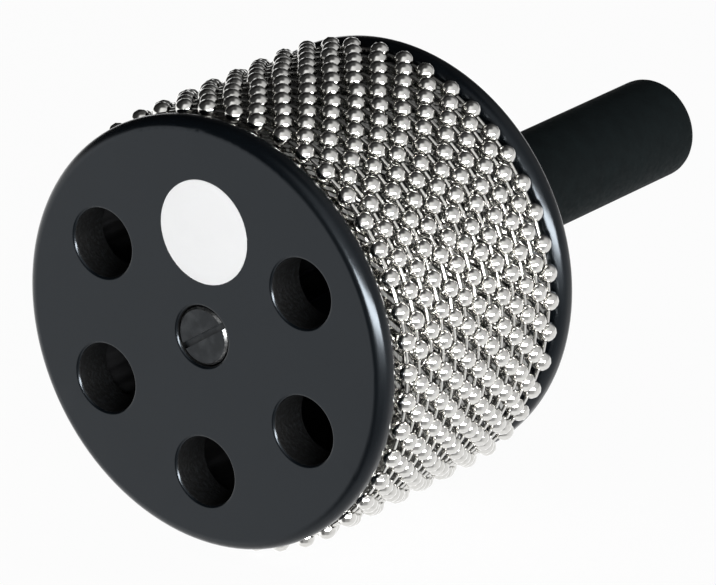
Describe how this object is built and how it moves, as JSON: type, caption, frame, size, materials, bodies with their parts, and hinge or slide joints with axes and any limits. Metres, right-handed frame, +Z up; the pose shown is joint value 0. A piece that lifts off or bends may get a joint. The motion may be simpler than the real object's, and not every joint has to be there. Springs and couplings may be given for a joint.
{
  "type": "cabasa",
  "caption": "Hand-held cabasa: loops of ball chain wrap a textured steel drum between two black discs, and turning the drum in the palm rasps the beads.",
  "frame": {"origin": "on the surface that the cabasa lies on, below the middle of its length", "axes": "+Y along the drum axis from the front disc to the handle's end, +Z up, +X to the right seen from the front disc"},
  "size_m": [0.1032, 0.1734, 0.1041],
  "materials": {
    "black_lacquer": "satin black lacquer over wood",
    "label_white": "satin white label film, blank",
    "black_shell": "matt black stain",
    "embossed_steel": "stainless sheet with a raised texture",
    "blackened_bolt": "blackened steel, slightly worn",
    "insert_brass": "plain",
    "dowel_wood": "bare turned wood",
    "grip_rubber": "matt soft rubber with a fine skin",
    "nickel_chain": "bright nickel plate"
  },
  "bodies": {
    "drum": {"front_disc": "black_lacquer", "rear_disc": "black_lacquer", "round_label": "label_white", "drum_shell": "black_shell", "steel_sleeve": "embossed_steel", "centre_bolt": "blackened_bolt", "threaded_insert": "insert_brass", "handle_dowel": "dowel_wood", "handle_grip": "grip_rubber"},
    "chain_wrap": {"chain_loop_01": "nickel_chain", "chain_loop_02": "nickel_chain", "chain_loop_03": "nickel_chain", "chain_loop_04": "nickel_chain", "chain_loop_05": "nickel_chain", "chain_loop_06": "nickel_chain", "chain_loop_07": "nickel_chain", "chain_loop_08": "nickel_chain", "chain_loop_09": "nickel_chain", "chain_loop_10": "nickel_chain", "chain_loop_11": "nickel_chain", "chain_loop_12": "nickel_chain", "chain_loop_13": "nickel_chain"}
  },
  "joints": [
    {"name": "chain_spin", "type": "hinge", "parent": "drum", "child": "chain_wrap", "pos_m": [0, 0, 0.05267], "axis": [0, 1, 0], "continuous": true}
  ]
}
